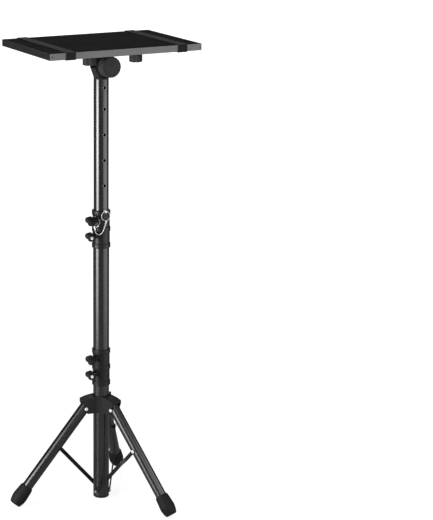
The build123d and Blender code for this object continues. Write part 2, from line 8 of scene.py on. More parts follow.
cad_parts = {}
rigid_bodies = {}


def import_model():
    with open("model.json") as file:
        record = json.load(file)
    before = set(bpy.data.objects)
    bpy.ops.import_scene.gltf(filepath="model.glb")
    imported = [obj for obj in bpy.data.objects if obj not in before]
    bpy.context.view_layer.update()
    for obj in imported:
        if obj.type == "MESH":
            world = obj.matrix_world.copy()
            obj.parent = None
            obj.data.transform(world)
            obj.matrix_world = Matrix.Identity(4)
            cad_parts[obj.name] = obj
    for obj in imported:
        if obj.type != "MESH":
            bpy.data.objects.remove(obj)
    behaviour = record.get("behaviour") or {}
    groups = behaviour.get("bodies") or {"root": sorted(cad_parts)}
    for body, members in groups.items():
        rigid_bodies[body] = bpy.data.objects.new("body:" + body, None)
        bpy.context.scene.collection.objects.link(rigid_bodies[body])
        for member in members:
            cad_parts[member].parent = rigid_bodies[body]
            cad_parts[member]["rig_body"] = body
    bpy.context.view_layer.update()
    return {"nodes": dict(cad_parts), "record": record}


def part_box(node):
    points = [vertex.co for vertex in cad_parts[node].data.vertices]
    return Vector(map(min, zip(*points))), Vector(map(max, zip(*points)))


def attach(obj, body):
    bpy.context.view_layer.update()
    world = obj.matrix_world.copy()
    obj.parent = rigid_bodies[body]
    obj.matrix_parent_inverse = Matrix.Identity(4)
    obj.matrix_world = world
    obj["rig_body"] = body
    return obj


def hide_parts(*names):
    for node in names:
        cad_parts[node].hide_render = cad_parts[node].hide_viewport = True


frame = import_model()
nodes = frame["nodes"]
scene = bpy.context.scene

# Photograph's camera: 433 x 520 pixels, the stand left of the middle
CAMERA_AT = Vector((-2.0615, -4.1865, 1.8151))
CAMERA_LOOK = Vector((0.4280, 0.8691, -0.2478))
CAMERA_LENS = 134.58  # millimetres, as the sensor
CAMERA_SENSOR = 36.0
CAMERA_SHIFT = 0.2217
CAMERA_REACH = 100.0

# Lanyard's route, from the pin ring's ferrule round the collar to the boss ring's ferrule
LANYARD = (
    (-0.0007, -0.0263, 0.7193),
    (-0.0025, -0.0266, 0.7140),
    (-0.0043, -0.0267, 0.7088),
    (-0.0065, -0.0265, 0.7036),
    (-0.0091, -0.0258, 0.6987),
    (-0.0122, -0.0243, 0.6944),
    (-0.0159, -0.0221, 0.6922),
    (-0.0196, -0.0190, 0.6926),
    (-0.0221, -0.0160, 0.6956),
    (-0.0230, -0.0139, 0.6999),
    (-0.0231, -0.0126, 0.7045),
)
LANYARD_R = 0.0010

# Fineness of the wires, the rings and the turned pieces, and the angle above which an edge is sharp
WIRE_SIDES = 12
RING_STEPS = 72  # to a turn
LATHE_SIDES = 28
SHARP_ANGLE = math.radians(40)

# Wire rings: the pin's split ring with its turns side by side, and the boss ring with its axis' bearing
SPLIT_WIRE_R = 0.00055
SPLIT_TURNS = 2
SPLIT_ADVANCE = SPLIT_WIRE_R * 2 * SPLIT_TURNS
SPLIT_AXIS = Vector((0.0, -1.0, 0.0))
BOSS_WIRE_R = 0.0006
BOSS_RING_BEARING = math.radians(223)

# Straps round the tray
STRAP_WIDTH = 0.0254
STRAP_THICK = 0.0015
STRAP_STAND = 0.0010  # strap's middle line off the tray
STRAP_CORNER = 0.0013
STRAP_LAP = 0.095
STRAP_STEP = 0.005
STRAP_BEND_STEPS = 6
# Lapped end: its gap to the strap above, and how far before the strap's start its step down begins and ends
LAP_GAP = 0.0001
LAP_LEAVES = 0.010
LAP_ARRIVES = 0.001
# Selvage's section, as (in from the side, share of half the thickness), and that share between the selvages
SELVAGE = ((0.0, 0.3), (0.0006, 0.85), (0.0014, 1.0), (0.0026, 0.88))
CLOTH_SHARE = 0.86
# How far the straps wander sideways, in how many radians to a metre, and each one's phase
DRIFT = 0.0003
DRIFT_RATE = 31
DRIFT_PHASE = {"left": 1.0, "right": 2.2}
# Pitches of the weave, and the stitching: its box and margin, and half a stitch's length, width and height
WARP_PITCH = 0.0016
WEFT_PITCH = 0.0021
STITCH_PITCH = 0.0033
STITCH_BOX = 0.021
STITCH_MARGIN = 0.003
STITCH_HALVES = (STITCH_PITCH * 0.43, 0.00040, 0.00035)

# Low knobs: bearing of the axis, turn of the lobes, and the bright insert's place on the lower lobe
KNOB_BEARING = math.radians(205)
LOBE_TURN = math.radians(57)
LOBE_AT = 0.0054  # lobe's middle off the knob's axis
LOBE_R = 0.0076
INSERT_OUT = 0.0480  # from the pole's axis
INSERT_TURN = math.radians(56)  # round the lobe toward the front
INSERT_PROFILE = ((0.0, 0.9), (1.6, 0.8), (2.9, 0.45), (3.8, -0.2), (4.2, -1.0), (4.2, -2.4))

# Flare of the mast head under the tilt bolt, in millimetres: (radius, height) of its rows, and half its width
# between the bracket's ears
FLARE = (
    (17.6, 1079.4), (18.4, 1079.6), (19.0, 1080.4), (21.5, 1087.5), (24.3, 1095.5),
    (26.6, 1102.0), (27.0, 1103.4), (26.8, 1104.2), (26.0, 1104.6),
)  # fmt: skip
FLARE_HALF = 14.3
FLARE_SIDES = 96

# Pins at the ends of the tray's long edges
PIN_INSET = 0.005
PIN_PROFILE = ((0.0, 0.45), (0.8, 0.40), (1.4, 0.22), (1.7, -0.1), (1.7, -0.8))

# Pressed roof over each leg's top, between the hub plates: the legs' bearings in degrees, half its width, its
# thickness, and its line (out, up) in millimetres
LEG_BEARINGS = (53.1, 173.1, 293.1)
ROOF_HALF = 0.01425
ROOF_THICK = 0.0014
ROOF_LINE = (
    (21.6, 269.6), (25.0, 269.2), (30.0, 268.4), (35.0, 267.4), (40.0, 265.9),
    (45.0, 264.2), (49.0, 262.6), (51.0, 261.4), (51.8, 259.8), (52.0, 258.2),
)  # fmt: skip

# Pin holes along the mast, and the bare burr at one side of each
MAST_HOLES = (0.8127, 0.8759, 0.9391, 1.0023, 1.0548)
BURR_R = 0.00395
BURR_FROM = 130  # degrees round the hole
BURR_SPAN = 100
BURR_STEPS = 16
BURR_WIRE = 0.00036
BURR_TIP = 0.04  # least share of the wire's section, at its ends
BURR_RISE = 0.00010

# Moulded pieces: voxel of the remeshing, and rounds of smoothing
MOULDED_WING = (0.0006, 5)
MOULDED_FOOT = (0.0011, 4)
MOULDED_BRACE = (0.0006, 8)
MOULDED_KNOB = (0.0007, 3)
MOULDED_SCREWS = (0.0008, 3)

# Studio: levels of the walls in reflections by bearing from the camera in degrees, right of it positive
WALLS = (
    (-180, 1.0), (-172, 1.0), (-166, 0.02), (-100, 0.02), (-30, 0.05),
    (15, 0.05), (110, 0.02), (166, 0.02), (172, 1.0), (180, 1.0),
)  # fmt: skip
ROOM_LEVEL = 0.22
# Lit strips beside the stand: bearings from the camera, distance, and (foot, top, radiance) of each panel
STRIPS = (
    ("left", (-74, -41), 1.58, ((0.0, 0.2, 4.4), (0.2, 0.5, 7.4), (0.5, 0.88, 12.0), (0.88, 1.5, 1.2))),
    ("right_near", (33, 60), 1.0, ((0.0, 0.2, 0.55), (0.2, 0.45, 0.95), (0.45, 0.95, 1.65))),
    ("right_far", (60, 96), 1.0, ((0.0, 0.2, 0.75), (0.2, 0.45, 1.25), (0.45, 0.95, 2.0))),
)
# The other lamps: place, what it faces, width, height, radiance
LAMPS = (
    ("front_key", (-0.62, -3.14, 1.7), (0.0, 0.0, 0.75), 2.0, 1.8, 2.0),
    ("top_fill", (-0.6, 0.2, 3.2), (0.0, 0.0, 0.8), 2.0, 2.0, 1.4),
)
# Floor: its reach, its glow to the camera near the stand, the distances between which that rises to white,
# and the share of it in reflections
FLOOR_REACH = 40.0
FLOOR_NEAR = 0.84
FLOOR_FADE = (0.5, 3.0)
FLOOR_MIRRORED = 0.1


def link(obj):
    scene.collection.objects.link(obj)
    return obj


def mesh_object(name, bm):
    mesh = bpy.data.meshes.new(name)
    bm.normal_update()
    bm.to_mesh(mesh)
    bm.free()
    return link(bpy.data.objects.new(name, mesh))


def shade_smooth(obj):
    for polygon in obj.data.polygons:
        polygon.use_smooth = True
    return obj


def apply_modifiers(obj):
    """The evaluated mesh becomes the object's own, with no modifier left on it."""
    depsgraph = bpy.context.evaluated_depsgraph_get()
    mesh = bpy.data.meshes.new_from_object(obj.evaluated_get(depsgraph))
    obj.modifiers.clear()
    obj.data = mesh
    return obj


class Nodes:
    """A material's node tree, with the few wiring calls that the materials share."""

    def __init__(self, name):
        self.material = bpy.data.materials.new(name)
        self.material.use_nodes = True
        self.tree = self.material.node_tree
        self.shader = self.tree.nodes["Principled BSDF"]
        self.place = self.add("ShaderNodeTexCoord")

    def add(self, kind, **settings):
        node = self.tree.nodes.new(kind)
        for key, value in settings.items():
            setattr(node, key, value)
        return node

    def join(self, source, target):
        self.tree.links.new(source, target)

    def fixed(self, **values):
        for key, value in values.items():
            self.shader.inputs[key.replace("_", " ")].default_value = value

    def stretched(self, scale):
        mapping = self.add("ShaderNodeMapping")
        mapping.inputs["Scale"].default_value = scale
        self.join(self.place.outputs["Object"], mapping.inputs["Vector"])
        return mapping.outputs["Vector"]

    def noise(self, scale, detail=3.0, rough=0.5, vector=None):
        node = self.add("ShaderNodeTexNoise")
        node.inputs["Scale"].default_value = scale
        node.inputs["Detail"].default_value = detail
        node.inputs["Roughness"].default_value = rough
        self.join(vector or self.place.outputs["Object"], node.inputs["Vector"])
        return node.outputs["Fac"]

    def ramp(self, source, *stops):
        node = self.add("ShaderNodeValToRGB")
        elements = node.color_ramp.elements
        while len(elements) < len(stops):
            elements.new(0.5)
        for element, (at, color) in zip(elements, stops):
            element.position = at
            element.color = (*color, 1.0)
        self.join(source, node.inputs["Fac"])
        return node.outputs["Color"]

    def span(self, source, low, high, from_low=0.0, from_high=1.0):
        node = self.add("ShaderNodeMapRange")
        node.inputs["From Min"].default_value = from_low
        node.inputs["From Max"].default_value = from_high
        node.inputs["To Min"].default_value = low
        node.inputs["To Max"].default_value = high
        self.join(source, node.inputs["Value"])
        return node.outputs["Result"]

    def math(self, operation, a, b):
        node = self.add("ShaderNodeMath", operation=operation)
        for socket, value in zip(node.inputs, (a, b)):
            if isinstance(value, (int, float)):
                socket.default_value = value
            else:
                self.join(value, socket)
        return node.outputs["Value"]

    def mix(self, factor, a, b):
        node = self.add("ShaderNodeMix", data_type="RGBA")
        self.join(factor, node.inputs["Factor"])
        colors = [s for s in node.inputs if s.type == "RGBA"]
        for socket, value in zip(colors, (a, b)):
            if isinstance(value, tuple):
                socket.default_value = (*value, 1.0)
            else:
                self.join(value, socket)
        return [s for s in node.outputs if s.type == "RGBA"][0]

    def bump(self, height, strength, distance, edge=0.0):
        """Fine relief on the surface; edge rounds the sharp edges by that radius."""
        node = self.add("ShaderNodeBump")
        node.inputs["Strength"].default_value = strength
        node.inputs["Distance"].default_value = distance
        self.join(height, node.inputs["Height"])
        if edge:
            bevel = self.add("ShaderNodeBevel", samples=4)
            bevel.inputs["Radius"].default_value = edge
            self.join(bevel.outputs["Normal"], node.inputs["Normal"])
        self.join(node.outputs["Normal"], self.shader.inputs["Normal"])

    def worn_edges(self):
        """Near 1 where the surface turns sharply outward."""
        geometry = self.add("ShaderNodeNewGeometry")
        return self.span(geometry.outputs["Pointiness"], 0.0, 1.0, 0.52, 0.60)


def powder_paint(name, smooth, rough, peel, index):
    """Black powder coat on the tubes, with the orange peel that the lamps' edges show."""
    m = Nodes(name)
    patches = m.noise(14.0, 4.0)
    paint = m.ramp(patches, (0.3, (0.0045, 0.0046, 0.0049)), (0.75, (0.0085, 0.0086, 0.0090)))
    m.join(paint, m.shader.inputs["Base Color"])
    m.join(m.span(patches, smooth, rough), m.shader.inputs["Roughness"])
    m.fixed(IOR=index)
    m.bump(m.noise(520.0, 2.0), peel, 0.0005)
    return m.material


def black_enamel():
    """Dull black of the small steel pieces, rubbed paler in places along their edges."""
    m = Nodes("black_steel")
    patches = m.noise(22.0, 4.0)
    worn = m.math("MULTIPLY", m.worn_edges(), m.span(m.noise(90.0, 4.0), 0.0, 0.8, 0.45, 0.7))
    paint = m.ramp(patches, (0.3, (0.0066, 0.0066, 0.0070)), (0.75, (0.0084, 0.0084, 0.0088)))
    m.join(m.mix(worn, paint, (0.05, 0.05, 0.052)), m.shader.inputs["Base Color"])
    m.join(m.span(patches, 0.48, 0.52), m.shader.inputs["Roughness"])
    m.fixed(IOR=1.35)
    m.bump(m.noise(700.0, 2.0), 0.12, 0.0005, edge=0.0006)
    return m.material


def pressed_paint():
    """Flat black of the pressed hub and the tray's pan: paler and duller than the tubes."""
    m = Nodes("hub_paint")
    patches = m.noise(26.0, 4.0)
    paint = m.ramp(patches, (0.3, (0.0235, 0.0235, 0.0239)), (0.75, (0.0280, 0.0280, 0.0285)))
    m.join(paint, m.shader.inputs["Base Color"])
    m.join(m.span(patches, 0.52, 0.58), m.shader.inputs["Roughness"])
    m.fixed(IOR=1.2)
    m.bump(m.noise(700.0, 2.0), 0.12, 0.0005, edge=0.0010)
    return m.material


def sand_casting():
    """Matte black casting of the mast head and the tilt bracket, rough from the mould."""
    m = Nodes("mast_casting")
    grain = m.noise(900.0, 4.0, 0.6)
    patches = m.noise(45.0, 4.0)
    paint = m.ramp(patches, (0.3, (0.0260, 0.0260, 0.0264)), (0.75, (0.0370, 0.0370, 0.0375)))
    m.join(paint, m.shader.inputs["Base Color"])
    m.join(m.span(grain, 0.68, 0.84, 0.3, 0.7), m.shader.inputs["Roughness"])
    m.fixed(IOR=1.25)
    m.bump(grain, 0.35, 0.0005, edge=0.0006)
    return m.material


def bright_steel():
    m = Nodes("bright_steel")
    brushed = m.noise(900.0, 3.0, vector=m.stretched((1.0, 1.0, 0.15)))
    stains = m.noise(160.0, 4.0)
    metal = m.ramp(stains, (0.3, (0.66, 0.66, 0.67)), (0.8, (0.86, 0.86, 0.87)))
    m.join(metal, m.shader.inputs["Base Color"])
    m.join(m.span(stains, 0.16, 0.30), m.shader.inputs["Roughness"])
    m.fixed(Metallic=1.0)
    m.bump(brushed, 0.06, 0.0003, edge=0.0003)
    return m.material


def satin_plating():
    """Pale satin zinc of the pin with its ring and ferrules, the rivets, the inserts and the burrs."""
    m = Nodes("satin_plating")
    cloud = m.noise(260.0, 4.0)
    zinc = m.ramp(cloud, (0.3, (0.91, 0.91, 0.92)), (0.8, (0.97, 0.97, 0.98)))
    m.join(zinc, m.shader.inputs["Base Color"])
    m.join(m.span(cloud, 0.34, 0.46), m.shader.inputs["Roughness"])
    m.fixed(Metallic=0.3)
    m.bump(m.noise(1400.0, 2.0), 0.08, 0.0003)
    return m.material


def moulded_plastic():
    m = Nodes("black_plastic")
    patches = m.noise(35.0, 4.0)
    tone = m.ramp(patches, (0.3, (0.0055, 0.0055, 0.0057)), (0.75, (0.0095, 0.0095, 0.0098)))
    m.join(tone, m.shader.inputs["Base Color"])
    m.join(m.span(patches, 0.33, 0.42), m.shader.inputs["Roughness"])
    m.fixed(IOR=1.46)
    m.bump(m.noise(2600.0, 2.0), 0.22, 0.0003, edge=0.0005)
    return m.material


def grip_plastic(name, dark, pale):
    """Nylon of the knobs: duller than the collars, rubbed paler where fingers hold it."""
    m = Nodes(name)
    grain = m.noise(1900.0, 3.0)
    rubbed = m.math("MULTIPLY", m.worn_edges(), m.span(m.noise(120.0, 4.0), 0.2, 1.0, 0.4, 0.7))
    tone = m.ramp(m.noise(60.0, 4.0), (0.3, (dark, dark, dark * 1.03)), (0.75, (pale, pale, pale * 1.03)))
    m.join(m.mix(rubbed, tone, (pale * 1.7, pale * 1.7, pale * 1.73)), m.shader.inputs["Base Color"])
    m.join(m.span(grain, 0.60, 0.74, 0.3, 0.7), m.shader.inputs["Roughness"])
    m.fixed(IOR=1.3)
    m.bump(grain, 0.25, 0.0003)
    return m.material


def boot_rubber():
    m = Nodes("foot_rubber")
    dust = m.noise(40.0, 5.0, 0.6)
    tone = m.ramp(dust, (0.4, (0.0065, 0.0065, 0.0067)), (0.85, (0.0150, 0.0149, 0.0145)))
    m.join(tone, m.shader.inputs["Base Color"])
    m.join(m.span(dust, 0.55, 0.72), m.shader.inputs["Roughness"])
    m.fixed(IOR=1.35)
    m.bump(m.noise(1500.0, 3.0), 0.3, 0.0005)
    return m.material


def board_laminate():
    """Matte black laminate with a faint grain along the tray."""
    m = Nodes("tray_board")
    fibres = m.noise(60.0, 6.0, 0.65, m.stretched((0.35, 9.0, 9.0)))
    tone = m.noise(7.0, 4.0, 0.5, m.stretched((0.6, 4.0, 4.0)))
    both = m.math("ADD", m.math("MULTIPLY", fibres, 0.6), m.math("MULTIPLY", tone, 0.4))
    grain = m.ramp(both, (0.35, (0.0130, 0.0128, 0.0127)), (0.68, (0.0260, 0.0255, 0.0251)))
    m.join(grain, m.shader.inputs["Base Color"])
    m.join(m.span(fibres, 0.72, 0.88, 0.3, 0.7), m.shader.inputs["Roughness"])
    m.fixed(IOR=1.06)
    m.bump(fibres, 0.25, 0.0004)
    return m.material


def edge_strip():
    """Band round the board: black, with a grey painted sheen on the two long edges that stands in for the
    light they catch; the short ones stay black.
    """
    m = Nodes("edge_band")
    split = m.add("ShaderNodeSeparateXYZ")
    m.join(m.place.outputs["Normal"], split.inputs["Vector"])
    # Painted sheen: edges facing along Y, the two long edges, take a grey base colour in place of the light
    # that falls on them.
    painted_sheen_mask = m.span(m.math("ABSOLUTE", split.outputs["Y"], 0.0), 0.0, 1.0, 0.6, 0.8)
    fibres = m.noise(55.0, 5.0, 0.6, m.stretched((0.5, 0.5, 12.0)))
    dark = m.ramp(fibres, (0.35, (0.0075, 0.0074, 0.0073)), (0.7, (0.0200, 0.0196, 0.0192)))
    # Grey of the painted sheen on the long edges; dark is the band's own black.
    grey = m.ramp(fibres, (0.35, (0.205, 0.205, 0.206)), (0.7, (0.285, 0.285, 0.286)))
    m.join(m.mix(painted_sheen_mask, dark, grey), m.shader.inputs["Base Color"])
    m.join(m.span(fibres, 0.45, 0.6, 0.3, 0.7), m.shader.inputs["Roughness"])
    m.fixed(IOR=1.45)
    m.bump(fibres, 0.18, 0.0003, edge=0.0004)
    return m.material


def woven_webbing():
    """Flat-woven strap: ribs across it, waved by the warp, its colour painted darker in the weave's hollows
    and paler on its ribs as painted shade and light.
    """
    m = Nodes("webbing")
    uv = m.add("ShaderNodeUVMap", uv_map="weave")
    split = m.add("ShaderNodeSeparateXYZ")
    m.join(uv.outputs["UV"], split.inputs["Vector"])
    across, along = split.outputs["X"], split.outputs["Y"]
    warp = m.math("SINE", m.math("MULTIPLY", across, 2 * math.pi / WARP_PITCH), 0.0)
    rows = m.math("MULTIPLY", along, 2 * math.pi / WEFT_PITCH)
    rib = m.math("ADD", rows, m.math("MULTIPLY", warp, 1.5))
    weft = m.math("SINE", rib, 0.0)
    cloth = m.math("ADD", m.math("MULTIPLY", warp, 0.25), m.math("MULTIPLY", weft, 0.5))
    height = m.math("ADD", cloth, m.math("MULTIPLY", m.noise(1800.0, 3.0), 0.5))
    # Painted shade and highlight: the base colour follows the weave's height, dark in its hollows and pale on
    # its ribs, with fine random yarn tone from the noise.
    painted_weave_shading = m.span(height, 0.0, 1.0, -0.6, 1.1)
    yarn = m.ramp(painted_weave_shading, (0.1, (0.0060, 0.0060, 0.0062)), (0.9, (0.0300, 0.0300, 0.0307)))
    m.join(yarn, m.shader.inputs["Base Color"])
    m.fixed(Roughness=0.85, IOR=1.3, Sheen_Weight=0.12, Sheen_Roughness=0.5)
    m.bump(height, 0.5, 0.0004)
    return m.material


def sewing_thread():
    m = Nodes("sewing_thread")
    twist = m.noise(2400.0, 3.0, vector=m.stretched((1.0, 0.4, 1.0)))
    yarn = m.ramp(twist, (0.3, (0.012, 0.012, 0.0125)), (0.7, (0.045, 0.045, 0.046)))
    m.join(yarn, m.shader.inputs["Base Color"])
    m.join(m.span(twist, 0.6, 0.8), m.shader.inputs["Roughness"])
    m.bump(twist, 0.4, 0.0002)
    return m.material


def coated_cable():
    """Pale coated wire cable, with slanting bands for the strands under the coat."""
    m = Nodes("lanyard_cable")
    wave = m.add("ShaderNodeTexWave", wave_type="BANDS", bands_direction="DIAGONAL")
    wave.inputs["Scale"].default_value = 420.0
    wave.inputs["Distortion"].default_value = 0.6
    m.join(m.place.outputs["Object"], wave.inputs["Vector"])
    strands = wave.outputs["Fac"]
    coat = m.ramp(strands, (0.15, (0.88, 0.88, 0.89)), (0.8, (0.97, 0.97, 0.98)))
    m.join(coat, m.shader.inputs["Base Color"])
    m.join(m.span(strands, 0.42, 0.32), m.shader.inputs["Roughness"])
    m.bump(strands, 0.3, 0.0003)
    return m.material


materials = {
    "black_tube": powder_paint("black_tube", smooth=0.18, rough=0.24, peel=0.025, index=1.8),
    "black_steel": black_enamel(),
    "bright_steel": bright_steel(),
    "black_plastic": moulded_plastic(),
    "foot_rubber": boot_rubber(),
    "tray_board": board_laminate(),
    "edge_band": edge_strip(),
    "webbing": woven_webbing(),
}
leg_paint = powder_paint("leg_paint", smooth=0.23, rough=0.29, peel=0.03, index=1.8)
knob_nylon = grip_plastic("knob_nylon", dark=0.012, pale=0.020)
tray_nylon = grip_plastic("tray_nylon", dark=0.044, pale=0.060)
plating = satin_plating()
casting = sand_casting()
hub_paint = pressed_paint()
# Nodes that look different from the rest of their slot
own_finish = {
    "mast_head": casting,
    "tilt_bracket": casting,
    "tilt_knob": tray_nylon,
    "tray_screws": tray_nylon,
    "safety_pin": plating,
    "lanyard_ferrules": plating,
}
for name in nodes:
    if name.startswith("leg_") and name.endswith("_tube"):
        own_finish[name] = leg_paint
    elif name.endswith("_rivet") or name == "hub_rivets":
        own_finish[name] = plating
    elif name.startswith("hub_plate_") or name == "mount_pan":
        own_finish[name] = hub_paint
    elif name.endswith("_wing"):
        own_finish[name] = knob_nylon
slot_of = {entry["node"]: entry["material_slot"] for entry in frame["record"]["subparts"]}


def dress(obj, material):
    obj.data.materials.clear()
    obj.data.materials.append(material)


def finish_of(node):
    return own_finish.get(node, materials[slot_of[node]])


def stand_for(piece, node, material):
    """The piece takes the node's place: its body, and its being seen."""
    dress(piece, material)
    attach(piece, nodes[node]["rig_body"])
    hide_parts(node)


for name, node in nodes.items():
    dress(node, finish_of(name))


def make_lanyard():
    curve = bpy.data.curves.new("lanyard_cable", "CURVE")
    curve.dimensions = "3D"
    curve.bevel_depth = LANYARD_R
    curve.bevel_resolution = 4
    curve.resolution_u = 8
    spline = curve.splines.new("NURBS")
    spline.points.add(len(LANYARD) - 1)
    for point, place in zip(spline.points, LANYARD):
        point.co = (*place, 1.0)
    spline.order_u = 3
    spline.use_endpoint_u = True
    cable = link(bpy.data.objects.new("lanyard_cable", curve))
    stand_for(cable, "lanyard", coated_cable())


def soften(node, voxel, rounds):
    """A moulded piece in place of a node: the same form with its edges rounded as a mould leaves them."""
    piece = link(bpy.data.objects.new(node + "_moulded", nodes[node].data.copy()))
    remesh = piece.modifiers.new("remesh", "REMESH")
    remesh.mode = "VOXEL"
    remesh.voxel_size = voxel
    smooth = piece.modifiers.new("smooth", "SMOOTH")
    smooth.factor = 0.5
    smooth.iterations = rounds
    shade_smooth(apply_modifiers(piece))
    stand_for(piece, node, finish_of(node))


def sweep(bm, path, closed):
    """Adds a round wire along points, each a (place, outward direction, radius); closed joins its ends."""
    loops = []
    for i, (place, outward, radius) in enumerate(path):
        after = path[(i + 1) % len(path)][0] if closed or i + 1 < len(path) else place
        before = path[i - 1][0] if closed or i else place
        across = (after - before).normalized().cross(outward)
        ring = []
        for k in range(WIRE_SIDES):
            angle = 2 * math.pi * k / WIRE_SIDES
            spoke = outward * math.cos(angle) + across * math.sin(angle)
            ring.append(bm.verts.new(place + radius * spoke))
        loops.append(ring)
    pairs = list(zip(loops, loops[1:])) + ([(loops[-1], loops[0])] if closed else [])
    for one, two in pairs:
        for k in range(WIRE_SIDES):
            after = (k + 1) % WIRE_SIDES
            bm.faces.new((one[k], one[after], two[after], two[k]))
    if not closed:
        bm.faces.new(loops[0])
        bm.faces.new(loops[-1])
    bmesh.ops.recalc_face_normals(bm, faces=bm.faces)


def ring_path(node, axis, wire, turns, advance):
    """Points round the middle of a ring node, or of a coil that keeps within it."""
    low, high = (Vector(p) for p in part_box(node))
    middle = (low + high) / 2
    radius = (high.z - low.z) / 2 - wire
    up = Vector((0.0, 0.0, 1.0))
    side = up.cross(axis)
    count = RING_STEPS * turns
    path = []
    for i in range(count if turns == 1 else count + 1):
        angle = 2 * math.pi * i / RING_STEPS
        outward = up * math.cos(angle) + side * math.sin(angle)
        path.append((middle + outward * radius + axis * advance * (i / count - 0.5), outward, wire))
    return path


def make_ring(name, node, axis, wire, turns, advance, material):
    bm = bmesh.new()
    sweep(bm, ring_path(node, axis, wire, turns, advance), turns == 1)
    stand_for(shade_smooth(mesh_object(name, bm)), node, material)


def make_rings():
    """A two-turn split ring on the pin, and a closed wire ring on the boss."""
    make_ring("pin_split_ring", "pin_ring", SPLIT_AXIS, SPLIT_WIRE_R, SPLIT_TURNS, SPLIT_ADVANCE, plating)
    axis = Vector((math.cos(BOSS_RING_BEARING), math.sin(BOSS_RING_BEARING), 0.0))
    make_ring("boss_wire_ring", "boss_ring", axis, BOSS_WIRE_R, 1, 0.0, materials["bright_steel"])


def make_burrs():
    """Bare crescent at one side of each pin hole, front and back, where the drill broke through the paint."""
    low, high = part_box("mast_tube")
    radius = (high[0] - low[0]) / 2
    bm = bmesh.new()
    for height in MAST_HOLES:
        for face in (-1, 1):
            path = []
            for i in range(BURR_STEPS + 1):
                angle = math.radians(BURR_FROM + BURR_SPAN * i / BURR_STEPS)
                wire = BURR_WIRE * math.sqrt(max(math.sin(math.pi * i / BURR_STEPS), BURR_TIP))
                x = BURR_R * math.cos(angle)
                outward = Vector((x, face * math.sqrt(radius**2 - x**2), 0.0)).normalized()
                place = outward * (radius + BURR_RISE - wire)
                place += Vector((0.0, 0.0, height + BURR_R * math.sin(angle)))
                path.append((place, outward, wire))
            sweep(bm, path, closed=False)
    burrs = shade_smooth(mesh_object("mast_hole_burrs", bm))
    dress(burrs, plating)
    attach(burrs, "mast")


def make_roofs():
    """A roof of pressed sheet over each leg's top, from the pole to the ends of the hub plates."""
    line = [Vector(point) / 1000 for point in ROOF_LINE]
    sides = []
    for i, place in enumerate(line):
        along = (line[min(i + 1, len(line) - 1)] - line[max(i - 1, 0)]).normalized()
        off = Vector((-along.y, along.x)) * ROOF_THICK / 2
        sides.append((place + off, place - off))
    loop = [upper for upper, lower in sides] + [lower for upper, lower in reversed(sides)]
    bm = bmesh.new()
    for bearing in LEG_BEARINGS:
        turn = Matrix.Rotation(math.radians(bearing), 4, "Z")
        ends = []
        for y in (-ROOF_HALF, ROOF_HALF):
            ends.append([bm.verts.new(turn @ Vector((p.x, y, p.y))) for p in loop])
        for k in range(len(loop)):
            after = (k + 1) % len(loop)
            bm.faces.new((ends[0][k], ends[0][after], ends[1][after], ends[1][k]))
        for end in ends:
            bm.faces.new(end)
    bmesh.ops.recalc_face_normals(bm, faces=bm.faces)
    roofs = mesh_object("hub_roofs", bm)
    roofs.data.set_sharp_from_angle(angle=SHARP_ANGLE)
    dress(shade_smooth(roofs), hub_paint)
    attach(roofs, "leg_hub")


def make_flare():
    """The mast head's flare: a cone with flat sides between the bracket's ears."""
    bm = bmesh.new()
    rows = []
    for radius, height in FLARE:
        row = []
        for k in range(FLARE_SIDES):
            angle = 2 * math.pi * (k + 0.5) / FLARE_SIDES
            y = max(-FLARE_HALF, min(FLARE_HALF, radius * math.sin(angle)))
            row.append(bm.verts.new(Vector((radius * math.cos(angle), y, height)) / 1000))
        rows.append(row)
    for one, two in zip(rows, rows[1:]):
        for k in range(FLARE_SIDES):
            after = (k + 1) % FLARE_SIDES
            bm.faces.new((one[k], one[after], two[after], two[k]))
    bm.faces.new(rows[0])
    bm.faces.new(rows[-1])
    bmesh.ops.recalc_face_normals(bm, faces=bm.faces)
    flare = mesh_object("head_flare", bm)
    flare.data.set_sharp_from_angle(angle=SHARP_ANGLE)
    dress(shade_smooth(flare), casting)
    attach(flare, "mast")


def lathe(bm, profile, seat, out):
    """Adds a turned piece from its (radius, height) profile in millimetres, its axis along out."""
    turn = out.to_track_quat("Z", "Y").to_matrix()
    rings = []
    for radius, height in profile:
        count = LATHE_SIDES if radius else 1
        ring = []
        for k in range(count):
            angle = 2 * math.pi * k / count
            local = Vector((radius * math.cos(angle), radius * math.sin(angle), height)) / 1000
            ring.append(bm.verts.new(seat + turn @ local))
        rings.append(ring)
    for one, two in zip(rings, rings[1:]):
        for k in range(LATHE_SIDES):
            after = (k + 1) % LATHE_SIDES
            if len(one) == 1:
                bm.faces.new((one[0], two[k], two[after]))
            else:
                bm.faces.new((one[k], two[k], two[after], one[after]))
    bm.faces.new(rings[-1])
    bmesh.ops.recalc_face_normals(bm, faces=bm.faces)


def make_edge_pins():
    """A dark pin near each end of the two long edges, holding the edge band."""
    low, high = (Vector(p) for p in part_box("tray_edge_band"))
    bm = bmesh.new()
    for x in (low.x + PIN_INSET, high.x - PIN_INSET):
        for y, out in ((low.y, -1.0), (high.y, 1.0)):
            lathe(bm, PIN_PROFILE, Vector((x, y, (low.z + high.z) / 2)), Vector((0.0, out, 0.0)))
    pins = shade_smooth(mesh_object("edge_pins", bm))
    dress(pins, materials["black_steel"])
    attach(pins, "tray")


